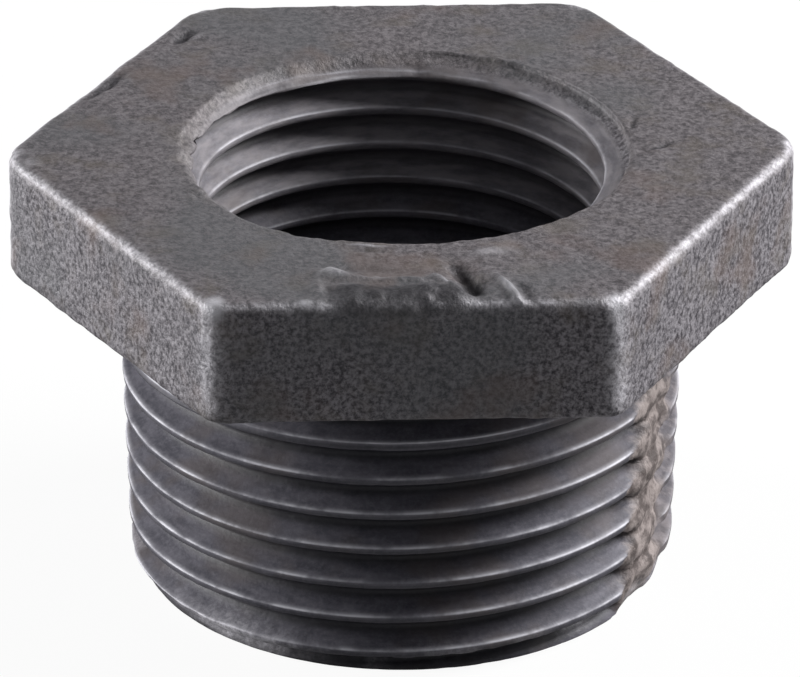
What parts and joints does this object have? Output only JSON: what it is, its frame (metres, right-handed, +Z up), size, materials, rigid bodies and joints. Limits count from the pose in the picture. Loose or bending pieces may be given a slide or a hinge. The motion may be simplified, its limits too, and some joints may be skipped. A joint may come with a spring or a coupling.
{
  "type": "hex bushing",
  "caption": "Hexagonal reducing bushing that screws into a larger pipe socket and takes a smaller threaded pipe in its bore.",
  "frame": {"origin": "centre of the nose end, on the surface that the bushing stands on", "axes": "+Z up the bore and out through the mouth in the hexagonal head; +Y and -Y square to two of the head's flats"},
  "size_m": [0.0364, 0.0322, 0.0209],
  "materials": {
    "cast_iron": "dark sand-cast skin with oiled, machined threads"
  },
  "bodies": {
    "root": {"bushing": "cast_iron"}
  },
  "joints": []
}
